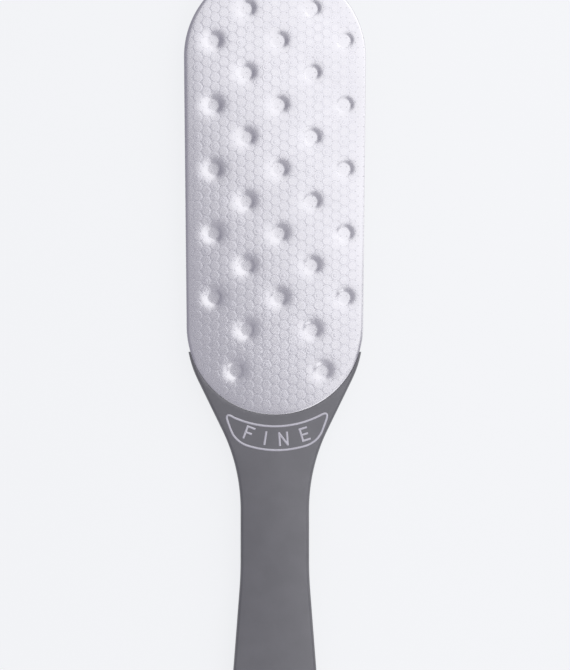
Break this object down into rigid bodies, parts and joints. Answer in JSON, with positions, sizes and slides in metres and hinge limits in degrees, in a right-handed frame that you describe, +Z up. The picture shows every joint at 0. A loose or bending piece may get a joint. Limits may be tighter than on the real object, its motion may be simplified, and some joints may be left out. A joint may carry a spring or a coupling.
{
  "type": "foot file",
  "caption": "Double-sided paddle foot file with rounded, dimpled metal abrasive plates, a waisted grey plastic grip and a hanging hole.",
  "frame": {"origin": "on the surface that the file lies on, under the middle of its overall length and width", "axes": "+X across the blade, +Y along the file from the grip to the blade's rounded top, +Z up out of the fine face"},
  "size_m": [0.05, 0.24, 0.0084],
  "materials": {
    "core_plastic": "matt dark grey moulded plastic",
    "grip_plastic": "satin mid-grey moulded plastic",
    "fine_sheet": "satin etched sheet with fine raised rings",
    "coarse_sheet": "satin etched sheet with coarse raised rings",
    "adhesive": "translucent adhesive film"
  },
  "bodies": {
    "root": {"core": "core_plastic", "front_grip": "grip_plastic", "rear_grip": "grip_plastic", "fine_plate": "fine_sheet", "coarse_plate": "coarse_sheet", "fine_adhesive": "adhesive", "coarse_adhesive": "adhesive"}
  },
  "joints": []
}
